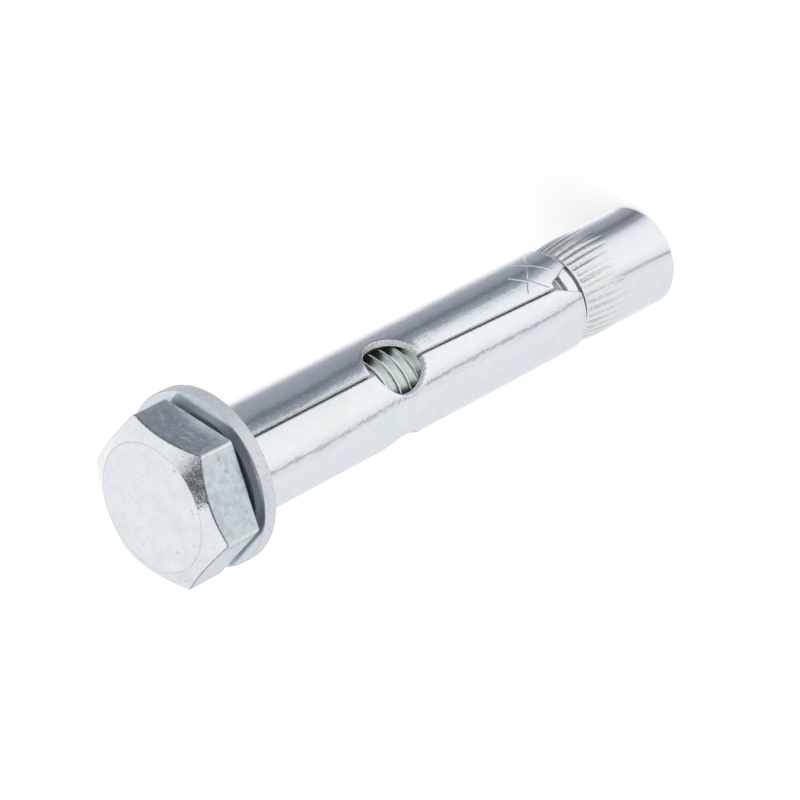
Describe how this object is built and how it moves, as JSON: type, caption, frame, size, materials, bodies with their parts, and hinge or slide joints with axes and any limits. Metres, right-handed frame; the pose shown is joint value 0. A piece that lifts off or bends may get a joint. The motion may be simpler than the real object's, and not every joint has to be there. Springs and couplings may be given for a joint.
{
  "type": "sleeve anchor",
  "caption": "Zinc-plated steel sleeve anchor: hexagon bolt, washer and rolled sleeve over a fluted cone nut that is drawn in to grip a drilled hole.",
  "frame": {"origin": "centre of the cone nut's far end, on the floor that the anchor stands on", "axes": "+Z along the bolt's axis, from the cone nut to the hexagon head; the sleeve's seam faces -Y"},
  "size_m": [0.0196, 0.0197, 0.0759],
  "materials": {
    "bolt_zinc": "zinc-plated, satin, slightly mottled",
    "washer_zinc": "zinc-plated, satin",
    "sleeve_zinc": "bright zinc-plated, polished along its length",
    "nut_zinc": "bright zinc-plated"
  },
  "bodies": {
    "cone_nut": {"cone_nut": "nut_zinc"},
    "sleeve": {"sleeve": "sleeve_zinc"},
    "bolt": {"hex_bolt": "bolt_zinc"},
    "washer": {"flat_washer": "washer_zinc"}
  },
  "joints": [
    {"name": "sleeve_lift", "type": "slide", "parent": "cone_nut", "child": "sleeve", "axis": [0, 0, 1], "range_m": [0, 0.0075]},
    {"name": "bolt_turn", "type": "hinge", "parent": "sleeve", "child": "bolt", "pos_m": [0, 0, 0.0695], "axis": [0, 0, 1], "range_deg": [0, 1800]},
    {"name": "washer_spin", "type": "hinge", "parent": "sleeve", "child": "washer", "pos_m": [0.00039, -0.00026, 0.0684], "axis": [0, 0, 1], "continuous": true}
  ],
  "couplings": [
    {"joint": "bolt_turn", "follows": "sleeve_lift", "rad_per_m": 4188.8}
  ]
}
